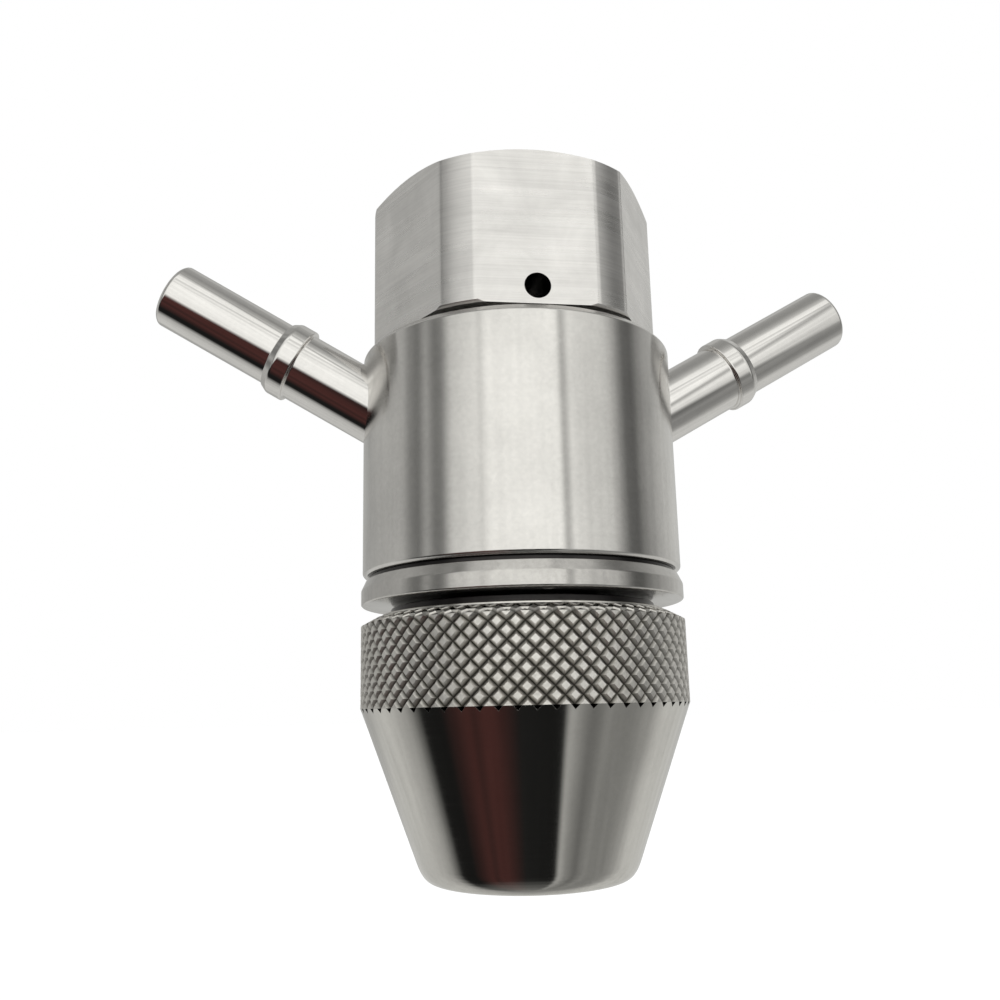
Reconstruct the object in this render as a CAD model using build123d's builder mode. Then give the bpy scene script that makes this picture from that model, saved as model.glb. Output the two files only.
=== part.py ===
"""Air-operated capping head: the tool head that a capping machine screws onto its spindle.

The hexagonal drive spindle turns with the machine. A still barrel swivels round it on two thin ball
bearings and feeds air through two hose stems. The air drives a piston in the chuck body, which
squeezes a rubber grip ring inside the knurled nose nut, and the ring closes on the cap. A sprung
plunger pushes the cap out afterwards.

Millimetres, +Z up along the spindle axis. The origin is the centre of the nose's bottom face. The
hose stems lie in the XZ plane, and the weep hole is on the -Y flat.
"""

import os
from math import cos, pi, radians, sin, tan

from build123d import *

os.makedirs("parts", exist_ok=True)

# ---- Fits ----------------------------------------------------------------------------------------
running = 0.05  # radial clearance of a piece that slides or turns in another
seated = 0.02  # gap left where two pieces bear on each other
turning_gap = 0.4  # axial gap between the still barrel and the turning chuck
free_gap = 0.6  # radial gap where nothing has to fit

# ---- Nose nut ------------------------------------------------------------------------------------
nose_radius = 24.0  # over the knurl and the top of the cone
nose_tip_radius = 15.6
tip_round = 1.5
cone_height = 24.0
knurl_height = 11.7
nut_rim_width, nut_rim_height = 2.2, 1.2  # the shallow chamfer on the nut's top edge
nut_lip_height, nut_lip_wall = 0.4, 0.95  # the low lip round the thread's mouth
nut_wall = 4.35  # round the thread
nut_thread_length = 10.5
thread_relief = 0.45
nose_wall = 2.1  # round the grip ring, at its thinnest
lip_height = 4.0  # the mouth's lip, which carries the grip ring
lip_depth = 2.6
mouth_chamfer = 0.4

# ---- Grip ring, pressure washer and push sleeve --------------------------------------------------
slip_washer_height = 1.0
grip_height = 10.0
grip_wall = 3.3
grip_ribs = 4
rib_depth = 0.5
grip_lead_in = 1.2
pressure_washer_height = 0.5
sleeve_inset = 2.1  # from the nut's cavity to the sleeve
sleeve_wall = 1.7
sleeve_lip_height, sleeve_lip_depth = 1.4, 1.0
spring_room = 3.6  # between the sleeve and the cylinder wall, for the return spring

# ---- Ejector plunger -----------------------------------------------------------------------------
ejector_stroke = 4.0
collar_height, collar_inset = 1.4, 0.3
foot_drop = 2.0  # how far the foot stands below the sleeve
pad_height, pad_inset = 1.0, 1.0
rod_radius = 3.0
rod_hold = 4.0  # length of rod guided by the piston at rest
ejector_wire = 0.8
ejector_coil_turns = 5

# ---- Chuck body and piston -----------------------------------------------------------------------
neck_gap = 1.8  # from the nut's top edge to the end cap
skirt_wall = 3.1
chuck_roof = 3.0
piston_stroke = 2.5
piston_height = 3.8
piston_seal = 1.8  # section of the piston's O-ring
piston_head_gap = 0.2
spigot_length = 4.0
return_solid_height = 4.1  # of the return spring at the end of the stroke
return_wire = 1.2
return_coil_turns = 3
end_ring_height = 2.0
circlip_height, circlip_bite = 1.0, 0.7
skirt_below_circlip = 0.85
boss_wall = 1.5

# ---- Spindle -------------------------------------------------------------------------------------
shaft_radius = 10.0
shoulder_height = 1.2  # how far the shoulders stand over the shaft
thread_step = 1.2  # from the shaft to its threaded tail
air_bore_radius = 5.2
cross_hole_radius = 2.0
across_flats = 41.0
corner_stock = 1.7  # how far the turned corners stand over the flats
head_height = 23.6
head_gap = 1.1  # between the head and the barrel
head_chamfer_angle = 30.0
socket_radius = 10.92  # M24 x 2, at its minor diameter
socket_depth = 18.0
socket_chamfer = 1.2
socket_relief = 1.3  # depth of the groove where the thread runs out
shelf_width = 3.0  # the ledge under the socket, for the washer
socket_washer_height = 1.5
weep_radius = 1.9
weep_edge = 0.8  # metal left under the weep hole

# ---- Barrel, end cap and stems -------------------------------------------------------------------
barrel_radius = 23.8
barrel_length = 34.4
barrel_top_chamfer, barrel_bottom_chamfer = 1.0, 0.4
barrel_lip_height = 2.0
cap_overhang = 0.2  # how far the end cap stands over the barrel
cap_flange_height = 3.7
cap_taper_height, cap_taper_depth = 1.5, 0.7
cap_edge = 0.2
seam_groove_height, seam_groove_depth = 0.6, 1.0  # between the flange and the barrel
spigot_height = 8.6  # of the end cap, inside the barrel
cap_seal = 1.8
cap_seal_rise = 1.2  # from the seam to the seal's groove
spanner_hole_radius, spanner_hole_depth, spanner_hole_inset = 1.0, 2.0, 2.2
wiper_depth, wiper_height = 2.6, 3.2
stem_angle = 30.0
stem_radius = 5.0
stem_bore_radius = 3.5
shank_over_stem = 0.3
barb_over_stem = 0.9
barb_land, barb_taper, barb_edge = 2.5, 1.1, 0.3
stem_end_chamfer = 0.5
shank_length = 11.3  # outside the barrel, up to the barb, on the stem's axis
stem_tail = 18.6  # beyond the barb
stem_entry_drop = 7.5  # from the barrel's top to where the stem's axis meets its wall
stem_stop_wall = 4.7  # between the stem's end and the bearing bore

# ---- Bearings and seals --------------------------------------------------------------------------
bearing_section, bearing_width = 3.5, 4.0
race_wall = 1.2
ball_radius = 1.0
ball_count = 18
ball_play = 0.04
cage_width, cage_thickness = 3.0, 0.8
wear_sleeve_wall = 1.0
seal_height = 3.0
lantern_holes = 8
lantern_hole_radius = 3.0
oring_play = 0.03

# ---- Heights that follow -------------------------------------------------------------------------
knurl_top = cone_height + knurl_height
nut_top = knurl_top + nut_rim_height
cap_bottom = nut_top + neck_gap
seam = cap_bottom + cap_flange_height
barrel_bottom = seam + seam_groove_height
barrel_top = barrel_bottom + barrel_length
head_bottom = barrel_top + head_gap
head_top = head_bottom + head_height
chuck_top = cap_bottom - turning_gap
chamber_top = chuck_top - chuck_roof
piston_top = chamber_top - piston_head_gap
piston_bottom = piston_top - piston_height
end_ring_top = piston_bottom - return_solid_height - piston_stroke
end_ring_bottom = end_ring_top - end_ring_height
circlip_bottom = end_ring_bottom - circlip_height - 2 * seated
skirt_bottom = circlip_bottom - skirt_below_circlip
slip_top = lip_height + slip_washer_height
grip_bottom = slip_top + seated
grip_top = grip_bottom + grip_height
pressure_bottom = grip_top + seated
pressure_top = pressure_bottom + pressure_washer_height
sleeve_bottom = pressure_top + seated
sleeve_lip_top = sleeve_bottom + sleeve_lip_height
collar_bottom = sleeve_lip_top + seated
collar_top = collar_bottom + collar_height
foot_bottom = sleeve_bottom - foot_drop
rod_top = piston_bottom + rod_hold
guide_top = rod_top + ejector_stroke + free_gap
boss_top = guide_top + boss_wall
bearing_floor = seam + spigot_height
lower_seal_floor = bearing_floor + bearing_width + seated
lantern_floor = lower_seal_floor + seal_height + seated
bearing_ceiling = barrel_top - barrel_lip_height
upper_bearing_floor = bearing_ceiling - bearing_width - seated
upper_seal_floor = upper_bearing_floor - seal_height - seated
lantern_ceiling = upper_seal_floor - seated
hub_top = bearing_floor - seated
tail_top = hub_top - spigot_height / 2

# ---- Radii that follow ---------------------------------------------------------------------------


def cone_radius(z):
    """The nose cone's outer radius at a height."""
    return nose_tip_radius + (nose_radius - nose_tip_radius) * (z - tip_round) / (cone_height - tip_round)


chuck_radius = nose_radius - nut_wall - running
cylinder_radius = chuck_radius - skirt_wall
cavity_radius = cone_radius(lip_height) - nose_wall
mouth_radius = cavity_radius - lip_depth
sleeve_radius = min(cavity_radius - sleeve_inset, cylinder_radius - spring_room)
sleeve_bore = sleeve_radius - sleeve_wall
sleeve_lip_bore = sleeve_bore - sleeve_lip_depth
collar_radius = sleeve_bore - collar_inset
foot_radius = sleeve_lip_bore - collar_inset / 2
piston_radius = cylinder_radius - running
ejector_coil_radius = rod_radius + free_gap + ejector_wire
spring_pocket_radius = ejector_coil_radius + ejector_wire
return_coil_radius = (sleeve_radius + cylinder_radius) / 2
neck_radius = shaft_radius + shoulder_height
tail_radius = shaft_radius - thread_step
hub_radius = neck_radius + shoulder_height / 6
bearing_radius = shaft_radius + bearing_section
pitch_radius = shaft_radius + bearing_section / 2
wear_radius = shaft_radius + wear_sleeve_wall
spigot_radius = bearing_radius + bearing_section
cap_radius = barrel_radius + cap_overhang
seam_groove_radius = barrel_radius - seam_groove_depth
cap_bore = hub_radius + free_gap
wiper_radius = hub_radius + wiper_depth
head_flat = across_flats / 2
head_corner = head_flat + corner_stock
shank_radius = stem_radius + shank_over_stem
barb_radius = stem_radius + barb_over_stem

# Each hose stem's axis rises outwards. Distances along it are from where it would meet the spindle's axis.
stem_slope = radians(stem_angle)
stem_entry = barrel_top - stem_entry_drop
stem_origin = stem_entry - barrel_radius * tan(stem_slope)
port_height = stem_origin + bearing_radius * tan(stem_slope)
stem_stop = (bearing_radius + stem_stop_wall) / cos(stem_slope)
barb_step = barrel_radius / cos(stem_slope) + shank_length
barb_shoulder = barb_step + barb_land
barb_end = barb_shoulder + barb_taper
stem_end = barb_end + stem_tail


def stem_axis(side):
    """The hose stem's axis on one side: +1 is +X and -1 is -X."""
    return Axis((0, 0, stem_origin), (side * cos(stem_slope), 0, sin(stem_slope)))


def along_stem(side, distance):
    """The plane square to a stem's axis, at a distance along it."""
    axis = stem_axis(side)
    return Plane(origin=axis.position + axis.direction * distance, z_dir=axis.direction)


def turned(points):
    """A solid turned about Z from a closed outline of (radius, height) points."""
    with BuildPart() as piece:
        with BuildSketch(Plane.XZ):
            with BuildLine():
                Polyline(*points, close=True)
            make_face()
        revolve(axis=Axis.Z)
    return piece


def plain_ring(inner, outer, low, high):
    """A plain ring turned about Z."""
    return turned([(inner, low), (outer, low), (outer, high), (inner, high)])


def oring(centre_radius, height, section):
    """A torus of round section about Z."""
    with BuildPart() as piece:
        with Locations((0, 0, height)):
            Torus(centre_radius, section / 2)
    return piece


def coil_spring(coil_radius, wire, turns, low, high):
    """A round-wire compression spring about Z, between two heights."""
    room = high - low - wire - 2 * seated
    with BuildPart() as piece:
        with BuildLine(Plane.XY.offset(low + wire / 2 + seated)) as coil:
            Helix(pitch=room / turns, height=room, radius=coil_radius)
        with BuildSketch(Plane(origin=coil.line @ 0, z_dir=coil.line % 0)):
            Circle(wire / 2)
        sweep(path=coil.line)
    return piece


def radial_holes(radius, reach, height, count, start=0.0):
    """Cuts a fan of radial holes in the part being built."""
    for number in range(count):
        angle = 2 * pi * number / count + start
        with Locations(Plane(origin=(0, 0, height), z_dir=(cos(angle), sin(angle), 0))):
            Cylinder(radius, reach, align=(Align.CENTER, Align.CENTER, Align.MIN), mode=Mode.SUBTRACT)


def keep(piece, label):
    """Labels a finished piece and writes it."""
    piece.part.label = label
    export_step(piece.part, f"parts/{label}.step")


# ---- Nose nut: one turned piece, threaded inside, with the cone below the knurl ------------------
nut_shoulder = skirt_bottom - running
thread_top = nut_shoulder + nut_thread_length
nut_bore = chuck_radius + running
with BuildPart() as nose_nut:
    with BuildSketch(Plane.XZ):
        with BuildLine():
            Polyline(
                (mouth_radius + mouth_chamfer, 0),
                (nose_tip_radius - tip_round, 0),
                (nose_tip_radius, tip_round),
                (nose_radius, cone_height),
                (nose_radius, knurl_top),
                (nose_radius - nut_rim_width, nut_top),
                (nut_bore + thread_relief + nut_lip_wall, nut_top),
                (nut_bore + thread_relief + nut_lip_wall, nut_top + nut_lip_height),
                (nut_bore + thread_relief, nut_top + nut_lip_height),
                (nut_bore + thread_relief, thread_top),
                (nut_bore, thread_top),
                (nut_bore, nut_shoulder),
                (cavity_radius, nut_shoulder),
                (cavity_radius, lip_height),
                (mouth_radius, lip_height),
                (mouth_radius, mouth_chamfer),
                close=True,
            )
        make_face()
    revolve(axis=Axis.Z)
keep(nose_nut, "nose_nut")

# ---- Grip ring: rubber, ribbed inside, on a bronze slip washer that lets the nut turn under it ---
keep(
    plain_ring(mouth_radius + mouth_chamfer / 2, cavity_radius - running, lip_height + seated, slip_top),
    "slip_washer",
)

grip_radius = cavity_radius - running
grip_bore = grip_radius - grip_wall
rib_pitch = (grip_height - grip_lead_in) / grip_ribs
grip_outline = [(grip_bore + grip_lead_in, grip_bottom)]
for rib in range(grip_ribs):
    rib_low = grip_bottom + grip_lead_in + rib * rib_pitch
    grip_outline += [(grip_bore, rib_low), (grip_bore + rib_depth, rib_low + rib_pitch / 2)]
grip_outline += [(grip_bore, grip_top), (grip_radius, grip_top), (grip_radius, grip_bottom)]
keep(turned(grip_outline), "grip_ring")

# ---- Piston body: pressure washer, push sleeve, piston and its O-ring ----------------------------
keep(
    plain_ring(sleeve_lip_bore, cavity_radius - 2 * running, pressure_bottom, pressure_top),
    "pressure_washer",
)

push_sleeve = turned(
    [
        (sleeve_lip_bore, sleeve_bottom),
        (sleeve_radius, sleeve_bottom),
        (sleeve_radius, piston_bottom - seated),
        (sleeve_bore, piston_bottom - seated),
        (sleeve_bore, sleeve_lip_top),
        (sleeve_lip_bore, sleeve_lip_top),
    ]
)
keep(push_sleeve, "push_sleeve")

boss_radius = rod_radius + boss_wall
piston_middle = (piston_top + piston_bottom) / 2
piston_groove = piston_radius - piston_seal
piston_groove_half = piston_seal / 2 + 2 * oring_play
piston = turned(
    [
        (rod_radius + running, piston_bottom),
        (spring_pocket_radius, piston_bottom),
        (spring_pocket_radius, piston_bottom - spigot_length),
        (sleeve_bore - running, piston_bottom - spigot_length),
        (sleeve_bore - running, piston_bottom),
        (piston_radius, piston_bottom),
        (piston_radius, piston_middle - piston_groove_half),
        (piston_groove, piston_middle - piston_groove_half),
        (piston_groove, piston_middle + piston_groove_half),
        (piston_radius, piston_middle + piston_groove_half),
        (piston_radius, piston_top),
        (boss_radius, piston_top),
        (boss_radius, boss_top),
        (0, boss_top),
        (0, guide_top),
        (rod_radius + running, guide_top),
    ]
)
keep(piston, "piston")
keep(oring(cylinder_radius - oring_play - piston_seal / 2, piston_middle, piston_seal), "piston_oring")
keep(
    coil_spring(return_coil_radius, return_wire, return_coil_turns, end_ring_top, piston_bottom),
    "piston_return_spring",
)

# ---- Ejector: a sprung plunger with a soft pad, held in by the push sleeve's lip -----------------
ejector_plunger = turned(
    [
        (0, foot_bottom),
        (foot_radius, foot_bottom),
        (foot_radius, collar_bottom),
        (collar_radius, collar_bottom),
        (collar_radius, collar_top),
        (rod_radius, collar_top),
        (rod_radius, rod_top),
        (0, rod_top),
    ]
)
keep(ejector_plunger, "ejector_plunger")
pad_radius = foot_radius - pad_inset
pad_bottom = foot_bottom - pad_height
keep(
    turned([(0, pad_bottom), (pad_radius, pad_bottom), (pad_radius, foot_bottom), (0, foot_bottom)]),
    "ejector_pad",
)
keep(
    coil_spring(ejector_coil_radius, ejector_wire, ejector_coil_turns, collar_top, piston_bottom),
    "ejector_spring",
)

# ---- Chuck body: a cup that screws onto the spindle's tail and carries the nut's thread ----------
circlip_groove = cylinder_radius + circlip_bite + running
chuck_body = turned(
    [
        (shaft_radius + running, hub_top),
        (hub_radius, hub_top),
        (hub_radius, chuck_top),
        (chuck_radius, chuck_top),
        (chuck_radius, skirt_bottom),
        (cylinder_radius, skirt_bottom),
        (cylinder_radius, circlip_bottom - seated),
        (circlip_groove, circlip_bottom - seated),
        (circlip_groove, end_ring_bottom),
        (cylinder_radius, end_ring_bottom),
        (cylinder_radius, chamber_top),
        (tail_radius + seated, chamber_top),
        (tail_radius + seated, tail_top - free_gap / 2),
        (shaft_radius + running, tail_top - free_gap / 2),
    ]
)
keep(chuck_body, "chuck_body")

keep(
    plain_ring(sleeve_radius + running, cylinder_radius - seated, end_ring_bottom + seated, end_ring_top),
    "cylinder_end_ring",
)

# The circlip is a ring with a gap and two eyes for pliers.
circlip_outer = cylinder_radius + circlip_bite
circlip_width = 2 * circlip_bite
circlip_gap = 4 * circlip_height
eye_radius = circlip_height
with BuildPart() as cylinder_circlip:
    with BuildSketch(Plane.XY.offset(circlip_bottom)):
        Circle(circlip_outer)
        Circle(circlip_outer - circlip_width, mode=Mode.SUBTRACT)
        with Locations((0, circlip_outer)):
            Rectangle(circlip_gap, 3 * circlip_width, mode=Mode.SUBTRACT)
        with Locations(
            *[(side * (circlip_gap / 2 + eye_radius), circlip_outer - circlip_width) for side in (-1, 1)]
        ):
            Circle(eye_radius)
            Circle(eye_radius / 2, mode=Mode.SUBTRACT)
    extrude(amount=circlip_height)
keep(cylinder_circlip, "cylinder_circlip")

# ---- Drive spindle: the hexagonal head, its threaded socket, the shaft and its air passages ------
head_chamfer_drop = corner_stock * tan(radians(head_chamfer_angle))
shelf = head_top - socket_depth
relief_top = shelf + socket_washer_height + free_gap
relief_radius = socket_radius + socket_relief
well_radius = socket_radius - shelf_width
well_bottom = head_bottom + weep_edge
weep_height = head_bottom + weep_edge + weep_radius
air_bore_top = port_height + cross_hole_radius + free_gap
chuck_seal = thread_step
chuck_seal_height = (tail_top + hub_top) / 2
with BuildPart() as drive_spindle:
    with BuildSketch(Plane.XZ):
        with BuildLine():
            Polyline(
                (0, head_bottom),
                (head_corner, head_bottom),
                (head_corner, head_top - head_chamfer_drop),
                (head_flat, head_top),
                (socket_radius + socket_chamfer, head_top),
                (socket_radius, head_top - socket_chamfer),
                (socket_radius, relief_top),
                (relief_radius, relief_top),
                (relief_radius, shelf),
                (well_radius, shelf),
                (well_radius, well_bottom),
                (0, well_bottom),
                close=True,
            )
        make_face()
    revolve(axis=Axis.Z)
    with BuildSketch(Plane.XY.offset(head_bottom)):
        RegularPolygon(head_flat, 6, major_radius=False)
    extrude(amount=head_height, mode=Mode.INTERSECT)
    with BuildSketch(Plane.XZ):
        with BuildLine():
            Polyline(
                (0, head_bottom + seated),
                (0, air_bore_top),
                (air_bore_radius, air_bore_top),
                (air_bore_radius, chamber_top),
                (tail_radius, chamber_top),
                (tail_radius, tail_top),
                (shaft_radius, tail_top),
                (shaft_radius, chuck_seal_height - chuck_seal / 2),
                (tail_radius, chuck_seal_height - chuck_seal / 2),
                (tail_radius, chuck_seal_height + chuck_seal / 2),
                (shaft_radius, chuck_seal_height + chuck_seal / 2),
                (shaft_radius, bearing_ceiling),
                (neck_radius, bearing_ceiling),
                (neck_radius, head_bottom + seated),
                close=True,
            )
        make_face()
    revolve(axis=Axis.Z)
    radial_holes(cross_hole_radius, shaft_radius + free_gap, port_height, 2)
    with BuildSketch(Plane.XZ.offset(head_corner)):
        with Locations((0, weep_height)):
            Circle(weep_radius)
    extrude(amount=well_radius / 2 - head_corner, mode=Mode.SUBTRACT)
keep(drive_spindle, "drive_spindle")

keep(
    plain_ring(
        well_radius + free_gap / 2,
        socket_radius - free_gap / 2,
        shelf + seated,
        shelf + socket_washer_height,
    ),
    "socket_washer",
)
chuck_seal_section = chuck_seal - oring_play
keep(
    oring(shaft_radius - chuck_seal_section / 2, chuck_seal_height, chuck_seal_section),
    "chuck_oring",
)

with BuildPart() as wear_sleeve:
    with BuildSketch(Plane.XY.offset(bearing_floor + bearing_width + seated)):
        Circle(wear_radius)
        Circle(shaft_radius + seated, mode=Mode.SUBTRACT)
    extrude(amount=upper_bearing_floor - bearing_floor - bearing_width - 2 * seated)
    radial_holes(cross_hole_radius, wear_radius + free_gap, port_height, 2)
keep(wear_sleeve, "wear_sleeve")


# ---- Ball bearings: two rings, a cage and its balls, twice ---------------------------------------
def bearing_race(inner, outer, low):
    """One ring of a ball bearing, with the groove that the balls run in."""
    with BuildPart() as race:
        with BuildSketch(Plane.XZ):
            with Locations(((inner + outer) / 2, low + bearing_width / 2)):
                Rectangle(outer - inner, bearing_width)
            with Locations((pitch_radius, low + bearing_width / 2)):
                Circle(ball_radius + ball_play, mode=Mode.SUBTRACT)
        revolve(axis=Axis.Z)
    return race


for place, floor_height in (("upper", upper_bearing_floor), ("lower", bearing_floor)):
    ring_low = floor_height + seated / 2
    middle = ring_low + bearing_width / 2
    keep(
        bearing_race(shaft_radius + seated, shaft_radius + race_wall, ring_low),
        f"{place}_bearing_inner_ring",
    )
    keep(
        bearing_race(bearing_radius - race_wall, bearing_radius - seated, ring_low),
        f"{place}_bearing_outer_ring",
    )
    with BuildPart() as balls:
        with BuildSketch(Plane.XY.offset(middle)) as ball_circle:
            with PolarLocations(pitch_radius, ball_count):
                Circle(ball_radius)
        with Locations(*[(face.center().X, face.center().Y, middle) for face in ball_circle.faces()]):
            Sphere(ball_radius)
    keep(balls, f"{place}_bearing_balls")
    with BuildPart() as cage:
        with BuildSketch(Plane.XY.offset(middle - cage_width / 2)):
            Circle(pitch_radius + cage_thickness / 2)
            Circle(pitch_radius - cage_thickness / 2, mode=Mode.SUBTRACT)
        extrude(amount=cage_width)
        radial_holes(ball_radius + ball_play, bearing_radius, middle, ball_count)
    keep(cage, f"{place}_bearing_cage")

# ---- Barrel: the still body, with a slanting socket and air passage for each stem ----------------
lip_bore = neck_radius + free_gap / 2
passage_start = (bearing_radius - free_gap) / cos(stem_slope) - stem_bore_radius * tan(stem_slope)
with BuildPart() as barrel:
    with BuildSketch(Plane.XZ):
        with BuildLine():
            Polyline(
                (spigot_radius, barrel_bottom),
                (barrel_radius - barrel_bottom_chamfer, barrel_bottom),
                (barrel_radius, barrel_bottom + barrel_bottom_chamfer),
                (barrel_radius, barrel_top - barrel_top_chamfer),
                (barrel_radius - barrel_top_chamfer, barrel_top),
                (lip_bore, barrel_top),
                (lip_bore, bearing_ceiling),
                (bearing_radius, bearing_ceiling),
                (bearing_radius, bearing_floor),
                (spigot_radius, bearing_floor),
                close=True,
            )
        make_face()
    revolve(axis=Axis.Z)
    for side in (-1, 1):
        with BuildSketch(along_stem(side, stem_stop)):
            Circle(shank_radius)
        extrude(amount=stem_end - stem_stop, mode=Mode.SUBTRACT)
        with BuildSketch(along_stem(side, passage_start)):
            Circle(stem_bore_radius)
        extrude(amount=stem_stop - passage_start, mode=Mode.SUBTRACT)
keep(barrel, "barrel")

# ---- Hose stems: barbed tubes, brazed into the barrel --------------------------------------------
for side, name in ((-1, "left_hose_stem"), (1, "right_hose_stem")):
    axis = stem_axis(side)
    across = Vector(-axis.direction.Z * side, 0, axis.direction.X * side)
    with BuildPart() as hose_stem:
        with BuildSketch(Plane(origin=axis.position, x_dir=across, z_dir=(0, side, 0))):
            with BuildLine():
                Polyline(
                    (stem_bore_radius, stem_stop + seated),
                    (shank_radius - seated, stem_stop + seated),
                    (shank_radius - seated, barb_step),
                    (barb_radius, barb_step),
                    (barb_radius, barb_shoulder),
                    (stem_radius + barb_edge, barb_end),
                    (stem_radius, barb_end),
                    (stem_radius, stem_end - stem_end_chamfer),
                    (stem_radius - stem_end_chamfer, stem_end),
                    (stem_bore_radius, stem_end),
                    close=True,
                )
            make_face()
        revolve(axis=axis)
    keep(hose_stem, name)

# ---- End cap: screws into the barrel from below and closes the bearing stack ---------------------
seal_low = seam + cap_seal_rise
seal_high = seal_low + cap_seal + 2 * oring_play
with BuildPart() as end_cap:
    with BuildSketch(Plane.XZ):
        with BuildLine():
            Polyline(
                (wiper_radius, cap_bottom),
                (cap_radius - cap_edge, cap_bottom),
                (cap_radius, cap_bottom + cap_edge),
                (cap_radius, seam - cap_taper_height),
                (cap_radius - cap_taper_depth, seam),
                (seam_groove_radius, seam),
                (seam_groove_radius, barrel_bottom - seated),
                (spigot_radius - seated, barrel_bottom - seated),
                (spigot_radius - seated, seal_low),
                (spigot_radius - cap_seal, seal_low),
                (spigot_radius - cap_seal, seal_high),
                (spigot_radius - seated, seal_high),
                (spigot_radius - seated, hub_top),
                (cap_bore, hub_top),
                (cap_bore, cap_bottom + wiper_height + seated),
                (wiper_radius, cap_bottom + wiper_height + seated),
                close=True,
            )
        make_face()
    revolve(axis=Axis.Z)
    with BuildSketch(Plane.XY.offset(cap_bottom)):
        with PolarLocations(cap_radius - spanner_hole_inset, 2, start_angle=90):
            Circle(spanner_hole_radius)
    extrude(amount=spanner_hole_depth, mode=Mode.SUBTRACT)
keep(end_cap, "end_cap")

cap_seal_section = cap_seal - 2 * oring_play
keep(
    oring(spigot_radius - oring_play - cap_seal_section / 2, (seal_low + seal_high) / 2, cap_seal_section),
    "end_cap_oring",
)

# The wiper is a felt-backed ring with a thin lip on the hub.
wiper_low = cap_bottom + turning_gap / 2
wiper_top = cap_bottom + wiper_height
hub_wiper = turned(
    [
        (hub_radius + running, wiper_low),
        (hub_radius + wiper_depth / 3, wiper_low),
        (hub_radius + wiper_depth / 2, (wiper_low + wiper_top) / 2),
        (wiper_radius - seated, wiper_low),
        (wiper_radius - seated, wiper_top),
        (hub_radius + wiper_depth / 3, wiper_top),
    ]
)
keep(hub_wiper, "hub_wiper")


# ---- Shaft seals: two lip seals that face the air chamber, kept apart by a lantern ring ----------
def lip_seal(back, front):
    """A U-shaped lip seal, open towards its front height."""
    inner, outer = wear_radius + running, bearing_radius - seated
    third = (outer - inner) / 3
    web = back + (front - back) / 3
    return turned(
        [
            (inner, back),
            (outer, back),
            (outer, front),
            (outer - third, front),
            ((inner + outer) / 2, web),
            (inner + third, front),
            (inner, front),
        ]
    )


keep(lip_seal(upper_seal_floor + seal_height, upper_seal_floor), "upper_shaft_seal")
keep(lip_seal(lower_seal_floor, lower_seal_floor + seal_height), "lower_shaft_seal")

with BuildPart() as lantern_ring:
    with BuildSketch(Plane.XY.offset(lantern_floor)):
        Circle(bearing_radius - seated)
        Circle(wear_radius + free_gap, mode=Mode.SUBTRACT)
    extrude(amount=lantern_ceiling - lantern_floor)
    radial_holes(lantern_hole_radius, bearing_radius + free_gap, port_height, lantern_holes)
keep(lantern_ring, "lantern_ring")
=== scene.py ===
"""An air-operated capping head: hexagonal drive spindle, still barrel with two hose stems, and nose nut."""

from math import acos, cos, hypot, pi, radians, sin, tan

import bmesh
import bpy
from mathutils import Matrix, Vector


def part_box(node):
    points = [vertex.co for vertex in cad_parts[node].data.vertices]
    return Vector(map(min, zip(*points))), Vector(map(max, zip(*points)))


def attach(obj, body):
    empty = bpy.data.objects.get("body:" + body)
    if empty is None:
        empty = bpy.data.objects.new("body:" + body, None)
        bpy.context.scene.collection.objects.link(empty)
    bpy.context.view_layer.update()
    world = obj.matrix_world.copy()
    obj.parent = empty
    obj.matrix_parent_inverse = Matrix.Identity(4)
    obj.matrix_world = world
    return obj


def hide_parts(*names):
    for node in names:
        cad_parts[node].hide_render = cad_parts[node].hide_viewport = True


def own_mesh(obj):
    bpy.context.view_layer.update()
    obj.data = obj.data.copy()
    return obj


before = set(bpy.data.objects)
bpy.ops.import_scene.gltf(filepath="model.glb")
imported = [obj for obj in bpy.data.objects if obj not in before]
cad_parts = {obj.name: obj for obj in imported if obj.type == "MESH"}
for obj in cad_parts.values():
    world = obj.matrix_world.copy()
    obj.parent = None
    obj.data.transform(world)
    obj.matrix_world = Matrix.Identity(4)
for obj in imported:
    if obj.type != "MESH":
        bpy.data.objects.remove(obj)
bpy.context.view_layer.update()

# ----------------------------------------
# The shaft of the drive spindle. It is turned from stainless bar in one piece with the hexagonal
# head above it, and its cross holes and bore carry the air down to the chuck. Only the short neck
# under the head shows.
mm = 0.001


def outline_of(node, keep=lambda radius, height: True):
    """A turned CAD node's outline in (radius, height), from its mesh. Open ends are closed to the axis."""
    same_place = 0.008 * mm
    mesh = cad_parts[node].data
    corners, uses, names = [], [], []
    for vertex in mesh.vertices:
        spot = (hypot(vertex.co.x, vertex.co.y), vertex.co.z)
        for number, corner in enumerate(corners):
            if abs(corner[0] - spot[0]) < same_place and abs(corner[1] - spot[1]) < same_place:
                break
        else:
            number = len(corners)
            corners.append(spot)
            uses.append(0)
        uses[number] += 1
        names.append(number)
    ring = 60  # a turned edge is used by at least this many loose triangles
    good = [count >= ring and keep(*corner) for corner, count in zip(corners, uses)]
    beside = {number: set() for number, is_good in enumerate(good) if is_good}
    for edge in mesh.edges:
        a, b = (names[end] for end in edge.vertices)
        if a != b and good[a] and good[b]:
            beside[a].add(b)
            beside[b].add(a)
    ends = [number for number, others in beside.items() if len(others) == 1]
    walk = [ends[0] if ends else next(iter(beside))]
    while True:
        ahead = [number for number in beside[walk[-1]] if number not in walk]
        if not ahead:
            break
        walk.append(ahead[0])
    outline = [corners[number] for number in walk]
    if ends:
        outline = [(0.0, outline[0][1])] + outline + [(0.0, outline[-1][1])]
    return outline


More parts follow.
